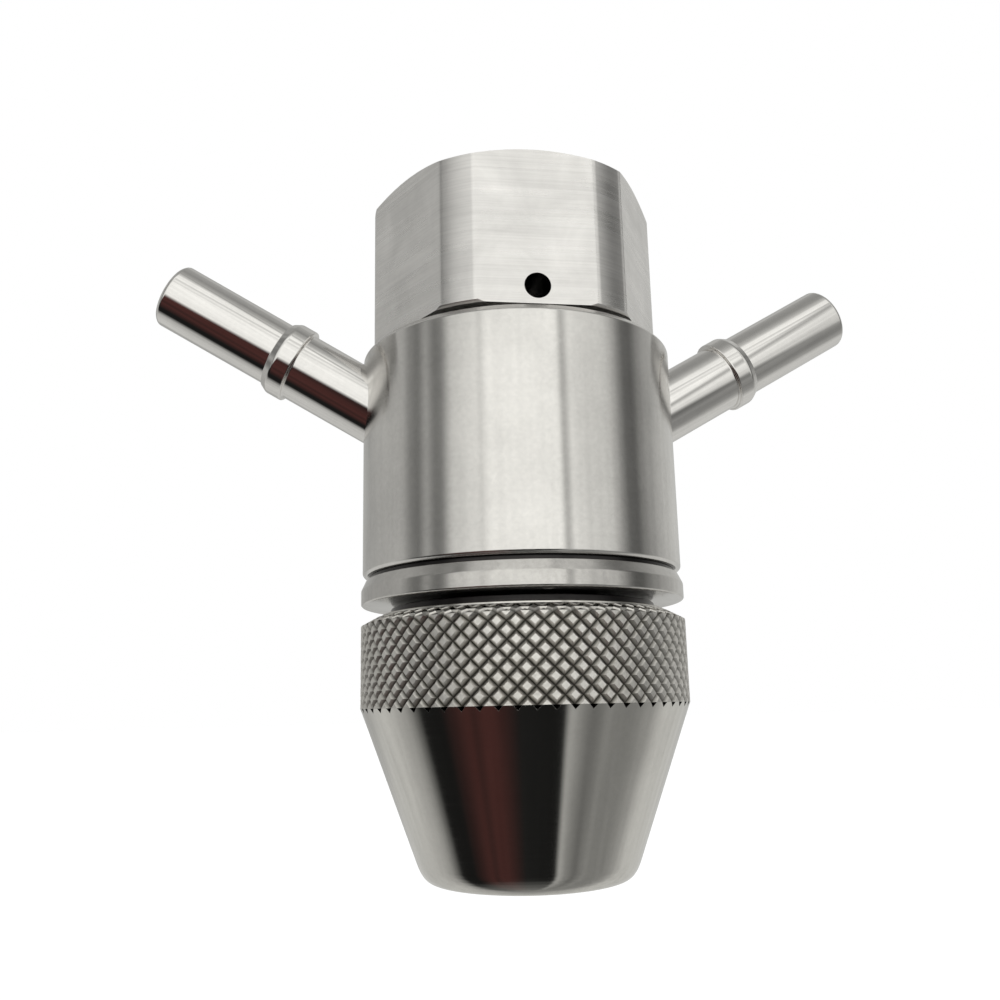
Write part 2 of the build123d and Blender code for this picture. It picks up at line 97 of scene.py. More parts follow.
def runs_round(outline):
    """1 if a closed outline runs counterclockwise, and -1 if it runs clockwise."""
    before = outline[-1:] + outline[:-1]
    return 1 if sum(a[0] * b[1] - b[0] * a[1] for a, b in zip(before, outline)) > 0 else -1


def rounded(outline, radius, steps=3):
    """The outline's points with each corner made an arc, and each point's own outward normal."""
    side = runs_round(outline)
    longest_cut = 0.45  # of the edge beside the corner
    points = []
    for i, (r, z) in enumerate(outline):
        back = Vector(outline[i - 1]) - Vector((r, z))
        ahead = Vector(outline[(i + 1) % len(outline)]) - Vector((r, z))
        normals = [
            Vector((-back.y, back.x)).normalized() * side,
            Vector((ahead.y, -ahead.x)).normalized() * side,
        ]
        if r < 0.001 * mm:
            points.append(((0.0, z), Vector((0, 1 if normals[0].y + normals[1].y > 0 else -1))))
            continue
        cut = min(radius, longest_cut * back.length, longest_cut * ahead.length)
        start = Vector((r, z)) + back.normalized() * cut
        stop = Vector((r, z)) + ahead.normalized() * cut
        for step in range(steps + 1):
            t = step / steps
            spot = start * (1 - t) ** 2 + Vector((r, z)) * 2 * t * (1 - t) + stop * t**2
            points.append(((spot.x, spot.y), (normals[0] * (1 - t) + normals[1] * t).normalized()))
    return points


def turned(name, outline, edge=0.15 * mm, steps=192, shifted=None):
    """A piece turned about Z from a closed outline, its edges broken by a small radius.

    shifted, if given, moves each point from its radius, height and step round the axis.
    """
    points = rounded(outline, edge)
    vertices, normals, rings = [], [], []
    for (r, z), normal in points:
        if r == 0.0:
            rings.append([len(vertices)] * steps)
            vertices.append((0, 0, z))
            normals.append((0, 0, normal.y))
            continue
        rings.append(list(range(len(vertices), len(vertices) + steps)))
        for step in range(steps):
            angle = 2 * pi * step / steps
            reach, height = shifted(r, z, step) if shifted else (r, z)
            vertices.append((reach * cos(angle), reach * sin(angle), height))
            normals.append((normal.x * cos(angle), normal.x * sin(angle), normal.y))
    faces = []
    for low, high in zip(rings, rings[1:] + rings[:1]):
        for step in range(steps):
            after = (step + 1) % steps
            corners = dict.fromkeys([low[step], low[after], high[after], high[step]])
            if len(corners) > 2:
                faces.append(list(corners))
    if runs_round([spot for spot, normal in points]) < 0:
        faces = [face[::-1] for face in faces]
    mesh = bpy.data.meshes.new(name)
    mesh.from_pydata(vertices, [], faces)
    mesh.update()
    mesh.shade_smooth()
    mesh.normals_split_custom_set_from_vertices(normals)
    piece = bpy.data.objects.new(name, mesh)
    bpy.context.scene.collection.objects.link(piece)
    return piece


def fitted(piece, body, slot, material, *nodes):
    """Gives a finished piece its material and fixes it to the body whose CAD nodes it stands for."""
    if material is not None:
        piece.data.materials.clear()
        piece.data.materials.append(material)
    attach(piece, body)
    if nodes:
        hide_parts(*nodes)
    return piece


def node_adder(tree):
    """Two functions for a tree: one adds a node, the other wires or sets a node's inputs.

    An input is named with its spaces as underscores, or by number as _0, _1.
    """

    def fill(node, **inputs):
        for key, value in inputs.items():
            socket = node.inputs[int(key[1:])] if key[0] == "_" else node.inputs[key.replace("_", " ")]
            if isinstance(value, bpy.types.NodeSocket):
                tree.links.new(value, socket)
            else:
                socket.default_value = value
        return node

    def add(kind, settings=(), **inputs):
        node = tree.nodes.new(kind)
        for key, value in dict(settings).items():
            setattr(node, key, value)
        return fill(node, **inputs)

    return add, fill


def new_material(name):
    """A material, a function that adds its nodes, and a function that sets its shader's inputs."""
    material = bpy.data.materials.new(name)
    material.use_nodes = True
    add, fill = node_adder(material.node_tree)
    shader = material.node_tree.nodes["Principled BSDF"]
    return material, add, lambda **inputs: fill(shader, **inputs)


def tool_marks(add, spread):
    """Where a lathe tool's marks lie: a pattern that changes with height and radius only."""
    spot = add("ShaderNodeTexCoord").outputs["Object"]
    parts = add("ShaderNodeSeparateXYZ", Vector=spot)
    flat = add("ShaderNodeCombineXYZ", X=parts.outputs["X"], Y=parts.outputs["Y"])
    radius = add("ShaderNodeVectorMath", {"operation": "LENGTH"}, Vector=flat.outputs["Vector"])
    way = add("ShaderNodeVectorMath", {"operation": "NORMALIZE"}, Vector=flat.outputs["Vector"])
    round_axis = add("ShaderNodeSeparateXYZ", Vector=way.outputs["Vector"])
    along = add("ShaderNodeMath", _0=parts.outputs["Z"], _1=radius.outputs["Value"])
    drawn = add("ShaderNodeMath", {"operation": "MULTIPLY"}, _0=along.outputs["Value"], _1=1 / spread)
    return add(
        "ShaderNodeCombineXYZ", X=round_axis.outputs["X"], Y=round_axis.outputs["Y"], Z=drawn.outputs["Value"]
    ).outputs["Vector"]


def turned_metal(name, colour, roughness, marks=0.35 * mm, depth=0.0012 * mm, anisotropy=0.7, blotch=0.06):
    """Metal as a lathe leaves it: fine rings round the axis, an uneven finish and long soft reflections."""
    material, add, shade = new_material(name)
    rings = add("ShaderNodeTexNoise", Vector=tool_marks(add, marks), Scale=1.0, Detail=4.0, Roughness=0.65)
    spot = add("ShaderNodeTexCoord").outputs["Object"]
    cloud = add("ShaderNodeTexNoise", Vector=spot, Scale=90.0, Detail=5.0, Roughness=0.6)
    grain = add("ShaderNodeTexNoise", Vector=spot, Scale=1400.0, Detail=3.0, Roughness=0.7)
    dark = [c * (1 - 3 * blotch) for c in colour]
    light = [min(1.0, c * (1 + blotch)) for c in colour]
    uneven = add(
        "ShaderNodeMath", {"operation": "MULTIPLY_ADD"},
        _0=grain.outputs["Fac"], _1=0.5, _2=cloud.outputs["Fac"],
    )
    spread = add("ShaderNodeMapRange", _0=uneven.outputs["Value"], _1=0.5, _2=1.0)
    tint = add(
        "ShaderNodeMix", {"data_type": "RGBA"}, _0=spread.outputs["Result"], _6=(*dark, 1), _7=(*light, 1)
    )
    rough = add(
        "ShaderNodeMapRange",
        _0=rings.outputs["Fac"], _1=0.25, _2=0.75, _3=roughness * 0.8, _4=roughness * 1.25,
    )
    bump = add("ShaderNodeBump", Height=rings.outputs["Fac"], Distance=depth, Strength=1.0)
    shade(Base_Color=tint.outputs[2], Roughness=rough.outputs["Result"], Normal=bump.outputs["Normal"])
    up_and_down = 0.25  # of a turn: reflections are drawn out along the axis, not round it
    shade(Metallic=1.0, Anisotropic=anisotropy, Anisotropic_Rotation=up_and_down)
    return material


satin_steel = turned_metal(
    "satin_steel", (0.76, 0.745, 0.72), 0.16, depth=0.0005 * mm, anisotropy=0.85, blotch=0.045
)
head_height = 23.6 * mm
head_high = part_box("drive_spindle")[1]
head_bottom = head_high.z - head_height
widest_shaft = 12 * mm
shaft = turned(
    "spindle_shaft", outline_of("drive_spindle", lambda r, z: r < widest_shaft and z < head_bottom + 0.1 * mm)
)
fitted(shaft, "spindle", "turned_steel", satin_steel, "drive_spindle")

# ----------------------------------------
# The hexagonal head of the drive spindle. Its corners and top chamfer are turned first, then the
# six flats are milled across, and a weep hole is drilled through one flat near the base. A threaded
# socket opens in its top.
flat_distance = head_high.y
corner_radius = head_high.x
chamfer_slope = tan(radians(30))
socket_minor, socket_major = 10.92 * mm, 12.0 * mm
socket_mouth = 12.3 * mm
socket_depth, relief_height, relief_radius = 18.0 * mm, 2.1 * mm, 12.22 * mm
well_radius, well_floor = 7.92 * mm, head_bottom + 0.8 * mm
weep_radius, weep_height = 1.9 * mm, 2.7 * mm
base_chamfer, base_bore, top_inset = 0.35 * mm, 11.0 * mm, 1 * mm
hair = 0.001 * mm

chamfer_rows = 14
widest = acos(flat_distance / corner_radius)
side_outline = [
    (base_bore, head_bottom),
    (flat_distance - base_chamfer, head_bottom),
    (corner_radius - base_chamfer, head_bottom),
    (corner_radius, head_bottom + base_chamfer),
]
for row in range(chamfer_rows + 1):
    radius = flat_distance / cos(widest * (1 - row / chamfer_rows))
    side_outline.append((radius, head_high.z - (radius - flat_distance) * chamfer_slope))
shelf = head_high.z - socket_depth
side_outline += [
    (flat_distance - top_inset, head_high.z),
    (socket_mouth, head_high.z),
    (socket_major, head_high.z - (socket_mouth - socket_major)),
    (socket_major, shelf + relief_height),
    (relief_radius, shelf + relief_height),
    (relief_radius, shelf),
    (well_radius, shelf),
    (well_radius, well_floor),
    (0.0, well_floor),
    (0.0, head_bottom),
]
columns = 8  # of faces across one flat, and across one corner
sixth = radians(60)
work = bmesh.new()
rings = []
for radius, z in side_outline:
    if abs(radius - flat_distance) < hair:
        half = 0.0
    else:
        half = acos(flat_distance / radius) if radius > flat_distance else sixth / 4
    ring = []
    for sector in range(6):
        middle = sixth * sector - pi / 2
        turns = [half * (2 * c / columns - 1) for c in range(columns)]
        turns += [half + (sixth - 2 * half) * c / columns for c in range(columns)]
        for turn in turns:
            reach = min(radius, flat_distance / cos(turn)) if abs(turn) <= half else radius
            ring.append(work.verts.new((reach * cos(middle + turn), reach * sin(middle + turn), z)))
    rings.append(ring)
for low, high in zip(rings, rings[1:] + rings[:1]):
    for c in range(len(low)):
        after = (c + 1) % len(low)
        work.faces.new((low[c], low[after], high[after], high[c]))
bmesh.ops.remove_doubles(work, verts=work.verts, dist=2 * hair)
bmesh.ops.dissolve_degenerate(work, edges=work.edges, dist=hair)
bmesh.ops.recalc_face_normals(work, faces=work.faces)
bmesh.ops.dissolve_limit(work, angle_limit=radians(0.4), verts=work.verts, edges=work.edges)
head_mesh = bpy.data.meshes.new("spindle_head")
work.to_mesh(head_mesh)
work.free()
head = bpy.data.objects.new("spindle_head", head_mesh)
bpy.context.scene.collection.objects.link(head)


def drilled(piece, radius, start, way, depth):
    """Cuts a round hole into a piece, from a point outside it, and keeps its smooth faces as they looked."""
    places = 7  # to which two corners of one point agree, in decimals of a metre
    hole_mesh = bpy.data.meshes.new("drill")
    drill = bmesh.new()
    turn = Vector(way).to_track_quat("Z", "Y").to_matrix().to_4x4()
    bmesh.ops.create_cone(
        drill, cap_ends=True, segments=48, radius1=radius, radius2=radius, depth=depth,
        matrix=Matrix.Translation(Vector(start) + Vector(way) * depth / 2) @ turn,
    )
    drill.to_mesh(hole_mesh)
    drill.free()
    hole = bpy.data.objects.new("drill", hole_mesh)
    bpy.context.scene.collection.objects.link(hole)
    mesh = piece.data
    smooth = {}
    if mesh.has_custom_normals:
        for corner in mesh.loops:
            place = tuple(round(c, places) for c in mesh.vertices[corner.vertex_index].co)
            smooth[place] = corner.normal.copy()
    cut = piece.modifiers.new("drill", "BOOLEAN")
    cut.operation, cut.solver, cut.object = "DIFFERENCE", "EXACT", hole
    settle(piece)
    bpy.data.objects.remove(hole)
    if smooth:
        mesh = piece.data
        normals = []
        for face in mesh.polygons:
            for corner in face.loop_indices:
                vertex = mesh.vertices[mesh.loops[corner].vertex_index]
                place = tuple(round(c, places) for c in vertex.co)
                kept_normal = smooth.get(place, face.normal)
                normals.append(kept_normal if kept_normal.dot(face.normal) > 0.5 else face.normal.copy())
        mesh.normals_split_custom_set(normals)


def settle(piece):
    """Makes a piece's modifiers its plain mesh."""
    bpy.context.view_layer.update()
    evaluated = piece.evaluated_get(bpy.context.evaluated_depsgraph_get())
    mesh = bpy.data.meshes.new_from_object(evaluated)
    piece.modifiers.clear()
    piece.data = mesh
    mesh.name = piece.name


def edges_broken(piece, width, angle=25):
    """Breaks a piece's sharp edges with a small bevel, and keeps its faces looking flat."""
    bevel = piece.modifiers.new("broken_edges", "BEVEL")
    bevel.width, bevel.segments, bevel.limit_method = width, 2, "ANGLE"
    bevel.angle_limit = radians(angle)
    bevel.use_clamp_overlap = True
    weighted = piece.modifiers.new("flat_faces", "WEIGHTED_NORMAL")
    weighted.keep_sharp = True
    piece.data.shade_smooth()
    settle(piece)


weep_start = (0, -corner_radius, head_bottom + weep_height)
drilled(head, weep_radius, weep_start, (0, 1, 0), corner_radius - well_radius / 2)
edges_broken(head, 0.12 * mm)


def milled_metal(name, colour):
    """Steel flats as a face cutter leaves them: fine level lines across them, and cloudy patches."""
    material, add, shade = new_material(name)
    spot = add("ShaderNodeTexCoord").outputs["Object"]
    drawn = add("ShaderNodeMapping", Vector=spot, Scale=(30, 30, 2300))
    lines = add("ShaderNodeTexNoise", Vector=drawn.outputs["Vector"], Scale=1.0, Detail=5.0, Roughness=0.7)
    broad = add("ShaderNodeMapping", Vector=spot, Scale=(60, 60, 420))
    bands = add("ShaderNodeTexNoise", Vector=broad.outputs["Vector"], Scale=1.0, Detail=3.0, Roughness=0.6)
    cloud = add("ShaderNodeTexNoise", Vector=spot, Scale=110.0, Detail=6.0, Roughness=0.62, Distortion=0.6)
    mixed = add(
        "ShaderNodeMath", {"operation": "MULTIPLY_ADD"},
        _0=lines.outputs["Fac"], _1=0.5, _2=bands.outputs["Fac"],
    )
    dark = [c * 0.78 for c in colour]
    light = [min(1.0, c * 1.1) for c in colour]
    clouded = add("ShaderNodeMapRange", _0=cloud.outputs["Fac"], _1=0.3, _2=0.7, _3=-0.3, _4=0.3)
    lined = add("ShaderNodeMapRange", _0=lines.outputs["Fac"], _1=0.3, _2=0.7, _3=0.3, _4=0.85)
    both = add(
        "ShaderNodeMath", {"use_clamp": True}, _0=clouded.outputs["Result"], _1=lined.outputs["Result"]
    )
    tint = add(
        "ShaderNodeMix", {"data_type": "RGBA"}, _0=both.outputs["Value"], _6=(*dark, 1), _7=(*light, 1)
    )
    rough = add("ShaderNodeMapRange", _0=mixed.outputs["Value"], _1=0.45, _2=1.05, _3=0.22, _4=0.36)
    bump = add("ShaderNodeBump", Height=mixed.outputs["Value"], Distance=0.0025 * mm, Strength=1.0)
    shade(Base_Color=tint.outputs[2], Roughness=rough.outputs["Result"], Normal=bump.outputs["Normal"])
    shade(Metallic=1.0, Anisotropic=0.6, Anisotropic_Rotation=0.25)
    return material


milled_steel = milled_metal("milled_steel", (0.82, 0.805, 0.785))
fitted(head, "spindle", "turned_steel", milled_steel, "drive_spindle")

# ----------------------------------------
# The thread in the head's socket, cut with a single-point tool. One node tree winds every helix of
# the head, from this thread to the springs: a spiral, with a triangle or a circle of wire drawn
# along it.


def input_tree(name, sockets):
    """A geometry node tree with named inputs, what those inputs give, and a function that adds its nodes."""
    tree = bpy.data.node_groups.new(name, "GeometryNodeTree")
    for socket, kind in sockets.items():
        tree.interface.new_socket(socket, in_out="INPUT", socket_type=f"NodeSocket{kind}")
    tree.interface.new_socket("Geometry", in_out="OUTPUT", socket_type="NodeSocketGeometry")
    add, fill = node_adder(tree)
    return tree, add("NodeGroupInput").outputs, add


def tree_ended(add, geometry, material):
    """Makes a tree's instances real, gives them their material, and passes them out."""
    real = add("GeometryNodeRealizeInstances", _0=geometry)
    painted = add("GeometryNodeSetMaterial", Geometry=real.outputs[0], Material=material)
    add("NodeGroupOutput", _0=painted.outputs[0])


def helix_tree():
    """The node tree that draws a regular section along a spiral and gives it a material."""
    sockets = {
        "Radius": "Float", "Pitch": "Float", "Turns": "Float", "Section Radius": "Float",
        "Section Sides": "Int", "Section Turn": "Float", "Bottom": "Float", "Steps": "Int", "Finish": "Material",
    }
    tree, given, add = input_tree("wound_helix", sockets)
    rise = add("ShaderNodeMath", {"operation": "MULTIPLY"}, _0=given["Pitch"], _1=given["Turns"])
    spiral = add(
        "GeometryNodeCurveSpiral", Resolution=given["Steps"], Rotations=given["Turns"],
        Start_Radius=given["Radius"], End_Radius=given["Radius"], Height=rise.outputs[0],
    )
    upright = add("GeometryNodeSetCurveNormal", {"mode": "Z_UP"}, Curve=spiral.outputs[0])
    section = add(
        "GeometryNodeCurvePrimitiveCircle", Resolution=given["Section Sides"], Radius=given["Section Radius"]
    )
    angle = add("ShaderNodeCombineXYZ", Z=given["Section Turn"])
    spun = add("GeometryNodeTransform", Geometry=section.outputs[0], Rotation=angle.outputs[0])
    drawn = add(
        "GeometryNodeCurveToMesh", Curve=upright.outputs[0], Profile_Curve=spun.outputs[0], Fill_Caps=True
    )
    place = add("ShaderNodeCombineXYZ", Z=given["Bottom"])
    lifted = add("GeometryNodeTransform", Geometry=drawn.outputs[0], Translation=place.outputs[0])
    tree_ended(add, lifted.outputs[0], given["Finish"])
    return tree


def grown(name, tree, values):
    """A piece made by a node tree, with its named inputs set, as a plain mesh."""
    piece = bpy.data.objects.new(name, bpy.data.meshes.new(name))
    bpy.context.scene.collection.objects.link(piece)
    modifier = piece.modifiers.new(name, "NODES")
    modifier.node_group = tree
    for item in tree.interface.items_tree:
        if item.in_out == "INPUT" and item.name in values:
            modifier[item.identifier] = values[item.name]
    settle(piece)
    return piece


wound_helix = helix_tree()


def thread(name, body, slot, material, node, crest, root, pitch, bottom, length):
    """A screw thread's ridge: a triangle wound on the bore or the shank at its root radius."""
    section = abs(crest - root) / 1.5  # a triangle is one and a half radii high
    way = 1 if crest > root else -1
    ridge = grown(
        name,
        wound_helix,
        {
            "Radius": crest - way * section,
            "Pitch": pitch,
            "Turns": length / pitch - 1,
            "Section Radius": section,
            "Section Sides": 3,
            "Section Turn": 0.0 if way < 0 else pi,
            "Bottom": bottom + pitch / 2,
            "Steps": 96,
            "Finish": material,
        },
    )
    return fitted(ridge, body, slot, None, node)


socket_pitch, thread_clear = 2.0 * mm, 0.3 * mm
thread_sunk = 0.05 * mm  # the ridge's root goes this far into the wall
thread(
    "socket_thread", "spindle", "turned_steel", satin_steel, "drive_spindle",
    socket_minor, socket_major + thread_sunk, socket_pitch,
    shelf + relief_height, socket_depth - relief_height - thread_clear,
)

# ----------------------------------------
# The sealing washer in the bottom of the socket, turned from white acetal.


def plain_finish(name, colour, roughness):
    """Rubber or plastic: one colour with a faint mottle, and a fine grain in its surface."""
    grain, grain_depth = 400.0, 0.004 * mm
    material, add, shade = new_material(name)
    spot = add("ShaderNodeTexCoord").outputs["Object"]
    mottle = add("ShaderNodeTexNoise", Vector=spot, Scale=grain, Detail=6.0, Roughness=0.6)
    dark = [c * 0.8 for c in colour]
    tint = add(
        "ShaderNodeMix", {"data_type": "RGBA"}, _0=mottle.outputs["Fac"], _6=(*dark, 1), _7=(*colour, 1)
    )
    rough = add(
        "ShaderNodeMapRange", _0=mottle.outputs["Fac"], _1=0.3, _2=0.7, _3=roughness * 0.85, _4=roughness
    )
    fine = add("ShaderNodeTexNoise", Vector=spot, Scale=grain * 12, Detail=2.0)
    bump = add("ShaderNodeBump", Height=fine.outputs["Fac"], Distance=grain_depth, Strength=1.0)
    shade(Base_Color=tint.outputs[2], Roughness=rough.outputs["Result"], Normal=bump.outputs["Normal"])
    return material


white_acetal = plain_finish("white_acetal", (0.80, 0.80, 0.76), 0.5)
socket_seal = turned("socket_seal", outline_of("socket_washer"))
fitted(socket_seal, "spindle", "white_acetal", white_acetal, "socket_washer")

# ----------------------------------------
# The two ball bearings, the wear sleeve under the seals, the lantern ring and the seals themselves.
# They are bought-in parts and small turned rings, shut inside the barrel.
ground_steel = turned_metal(
    "ground_steel", (0.72, 0.72, 0.73), 0.12, depth=0.0004 * mm, anisotropy=0.3, blotch=0.03
)
bronze = turned_metal("bronze", (0.62, 0.40, 0.18), 0.3, blotch=0.1)
black_rubber = plain_finish("black_rubber", (0.022, 0.022, 0.024), 0.6)


def kept(node, material):
    """A CAD node that shows as it is, with its real material."""
    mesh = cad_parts[node].data
    mesh.materials.clear()
    mesh.materials.append(material)


for place in ("upper", "lower"):
    for piece in ("inner_ring", "outer_ring", "balls"):
        kept(f"{place}_bearing_{piece}", ground_steel)
    kept(f"{place}_bearing_cage", bronze)
    kept(f"{place}_shaft_seal", black_rubber)
kept("wear_sleeve", ground_steel)
kept("lantern_ring", bronze)
kept("hub_wiper", black_rubber)
kept("end_cap_oring", black_rubber)
kept("chuck_oring", black_rubber)

# ----------------------------------------
# The barrel: turned stainless bar with a satin finish, chamfered at both ends. It stands still
# while the spindle turns.
barrel = turned("barrel_body", outline_of("barrel"), edge=0.18 * mm, steps=256)
fitted(barrel, "barrel", "turned_steel", satin_steel, "barrel")

# ----------------------------------------
# The two hose stems: polished stainless tube with one raised bead each, brazed into slanting
# sockets in the barrel.
stem_slope = radians(30)
stem_origin = 56.159 * mm
stem_radius, stem_bore = 5.0 * mm, 3.5 * mm
shank_radius, bead_radius, bead_edge = 5.28 * mm, 5.9 * mm, 0.3 * mm
stem_start, bead_step, bead_land, bead_taper = 21.04 * mm, 38.782 * mm, 2.5 * mm, 1.1 * mm
stem_end, stem_end_chamfer = 60.982 * mm, 0.5 * mm
stem_outline = [
    (stem_bore, stem_start),
    (shank_radius, stem_start),
    (shank_radius, bead_step),
    (bead_radius, bead_step),
    (bead_radius, bead_step + bead_land),
    (stem_radius + bead_edge, bead_step + bead_land + bead_taper),
    (stem_radius, bead_step + bead_land + bead_taper),
    (stem_radius, stem_end - stem_end_chamfer),
    (stem_radius - stem_end_chamfer, stem_end),
    (stem_bore, stem_end),
]
polished_steel = turned_metal(
    "polished_steel", (0.80, 0.785, 0.765), 0.07,
    marks=0.5 * mm, depth=0.0003 * mm, anisotropy=0.0, blotch=0.03,
)
for side, name in ((-1, "left"), (1, "right")):
    stem = turned(f"{name}_stem", stem_outline, edge=0.25 * mm, steps=96)
    axis = Vector((side * cos(stem_slope), 0, sin(stem_slope)))
    lean = axis.to_track_quat("Z", "Y").to_matrix().to_4x4()
    stem.data.transform(Matrix.Translation((0, 0, stem_origin)) @ lean)
    fitted(stem, "barrel", "polished_steel", polished_steel, f"{name}_hose_stem")

# ----------------------------------------
# The end cap: a turned flange with a light taper above its edge, screwed into the barrel from
# below. Two pin-spanner holes are drilled in its underside.
cap_low, cap_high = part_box("end_cap")
spanner_radius, spanner_depth, spanner_inset = 1.0 * mm, 2.0 * mm, 2.2 * mm
spanner_reach = cap_high.x - spanner_inset
hole_play = 0.1 * mm


def clear_of_spanner_holes(r, z):
    """Whether an outline point belongs to the turned shape, not to the holes drilled in it."""
    above = z > cap_low.z + spanner_depth + hole_play
    return above or abs(r - spanner_reach) > spanner_radius + hole_play


end_cap = turned("end_cap_flange", outline_of("end_cap", clear_of_spanner_holes), edge=0.12 * mm, steps=256)
for side in (-1, 1):
    spot = (0, side * spanner_reach, cap_low.z - spanner_depth)
    drilled(end_cap, spanner_radius, spot, (0, 0, 1), 2 * spanner_depth)
cap_steel = turned_metal(
    "cap_steel", (0.65, 0.635, 0.61), 0.18, depth=0.0006 * mm, anisotropy=0.85, blotch=0.06
)
fitted(end_cap, "barrel", "turned_steel", cap_steel, "end_cap")
# A near-black steel used as painted shade: in the seam groove, in the weep hole and on the chuck body.
painted_shade_steel = turned_metal("painted_shade_steel", (0.055, 0.052, 0.052), 0.3, blotch=0.1)


def shade_painted_inside(piece, is_inside):
    """Gives the faces inside a groove or a hole the near-black steel, as painted shade for the shade that falls
    deep in there.
    """
    piece.data.materials.append(painted_shade_steel)
    for face in piece.data.polygons:
        if is_inside(face.center):
            face.material_index = len(piece.data.materials) - 1


def in_seam_groove(spot):
    """Whether a spot on the cap lies in the groove at the barrel's seam."""
    return spot.z > seam_height - hole_play and hypot(spot.x, spot.y) < groove_radius + groove_lip


def in_weep_hole(spot):
    """Whether a spot on the head lies inside the weep hole."""
    from_middle = hypot(spot.x, spot.z - head_bottom - weep_height)
    return from_middle < weep_radius and weep_lip - flat_distance < spot.y < -well_radius


seam_height, groove_radius = 42.4 * mm, 22.8 * mm
groove_lip, weep_lip = 0.4 * mm, 0.2 * mm
# The seam groove and the weep hole are painted near-black: painted shade.
shade_painted_inside(end_cap, in_seam_groove)
shade_painted_inside(head, in_weep_hole)

# ----------------------------------------
# The chuck body: a turned cup on the spindle's tail, which is the cylinder of the air piston. The
# nose nut screws on its outside, and a ring and a circlip close its mouth.
plain_steel = turned_metal("plain_steel", (0.60, 0.59, 0.57), 0.2)
spring_steel = turned_metal("spring_steel", (0.45, 0.45, 0.46), 0.25, blotch=0.1)
chuck_low, chuck_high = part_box("chuck_body")
chuck_crest = chuck_high.x
nut_pitch, nut_thread_depth, nut_thread_length, thread_runout = 1.5 * mm, 0.85 * mm, 11.7 * mm, 1 * mm
chuck_root = chuck_crest - nut_thread_depth
near = 0.01 * mm
thread_top = chuck_low.z + nut_thread_length
thread_end = [
    (chuck_crest, thread_top),
    (chuck_root, thread_top - nut_thread_depth),
    (chuck_root, chuck_low.z),
]
chuck_outline = []
for r, z in outline_of("chuck_body"):
    if r > chuck_crest - near and z < chuck_low.z + near:
        comes_down = chuck_outline and chuck_outline[-1][1] > thread_top
        chuck_outline += thread_end if comes_down else thread_end[::-1]
    else:
        chuck_outline.append((r, z))
chuck_cup = turned("chuck_cup", chuck_outline, edge=0.2 * mm)
# The chuck cup and its thread get the near-black steel: painted shade for the dark gap under the flange.
fitted(chuck_cup, "spindle", "plain_steel", painted_shade_steel, "chuck_body")
thread(
    "chuck_thread", "spindle", "plain_steel", painted_shade_steel, "chuck_body",
    chuck_crest, chuck_root - thread_sunk, nut_pitch, chuck_low.z, nut_thread_length - thread_runout,
)
cylinder_ring = turned("cylinder_ring", outline_of("cylinder_end_ring"))
fitted(cylinder_ring, "spindle", "plain_steel", plain_steel, "cylinder_end_ring")
kept("cylinder_circlip", spring_steel)

# ----------------------------------------
# The piston with its O-ring, and the push sleeve below it, which presses on the grip ring through a
# steel washer.
bright_aluminium = turned_metal("bright_aluminium", (0.80, 0.80, 0.82), 0.25)
air_piston = turned("air_piston", outline_of("piston"))
sleeve = turned("sleeve", outline_of("push_sleeve"))
washer = turned("washer", outline_of("pressure_washer"))
fitted(air_piston, "piston", "piston_aluminium", bright_aluminium, "piston")
fitted(sleeve, "piston", "plain_steel", plain_steel, "push_sleeve")
fitted(washer, "piston", "plain_steel", plain_steel, "pressure_washer")
kept("piston_oring", black_rubber)

# ----------------------------------------
# The two compression springs, cold-wound from round wire: one brings the piston back, one pushes
# the ejector out.


def spring(name, body, node, wire, turns):
    """A round-wire spring in place of its CAD node, fixed to the body that carries it."""
    low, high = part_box(node)
    coil = grown(
        name,
        wound_helix,
        {
            "Radius": high.x - wire / 2,
            "Pitch": (high.z - low.z - wire) / turns,
            "Turns": float(turns),
            "Section Radius": wire / 2,
            "Section Sides": 12,
            "Section Turn": 0.0,
            "Bottom": low.z + wire / 2,
            "Steps": 64,
            "Finish": spring_steel,
        },
    )
    coil.data.shade_smooth()
    fitted(coil, body, "spring_steel", None, node)
    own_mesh(coil)


spring("return_spring", "spindle", "piston_return_spring", 1.2 * mm, 3)
spring("plunger_spring", "piston", "ejector_spring", 0.8 * mm, 5)

# ----------------------------------------
# The grip ring: moulded rubber with four ribs inside, which bulges on to the cap when it is
# pressed. A bronze washer under it lets the nut be screwed without twisting the rubber.
brown_rubber = plain_finish("brown_rubber", (0.30, 0.11, 0.06), 0.55)
grip = turned("grip_rubber_ring", outline_of("grip_ring"), edge=0.35 * mm)
fitted(grip, "grip", "grip_rubber", brown_rubber, "grip_ring")
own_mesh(grip)
slip_ring = turned("slip_ring", outline_of("slip_washer"))
fitted(slip_ring, "grip", "bronze", bronze, "slip_washer")

# ----------------------------------------
# The ejector: a white acetal plunger with a rubber pad on its foot, which pushes the cap out when
# the ring lets go.
plunger = turned("plunger", outline_of("ejector_plunger"), edge=0.3 * mm)
plunger_pad = turned("plunger_pad", outline_of("ejector_pad"), edge=0.3 * mm)
fitted(plunger, "ejector", "white_acetal", white_acetal, "ejector_plunger")
fitted(plunger_pad, "ejector", "grip_rubber", brown_rubber, "ejector_pad")

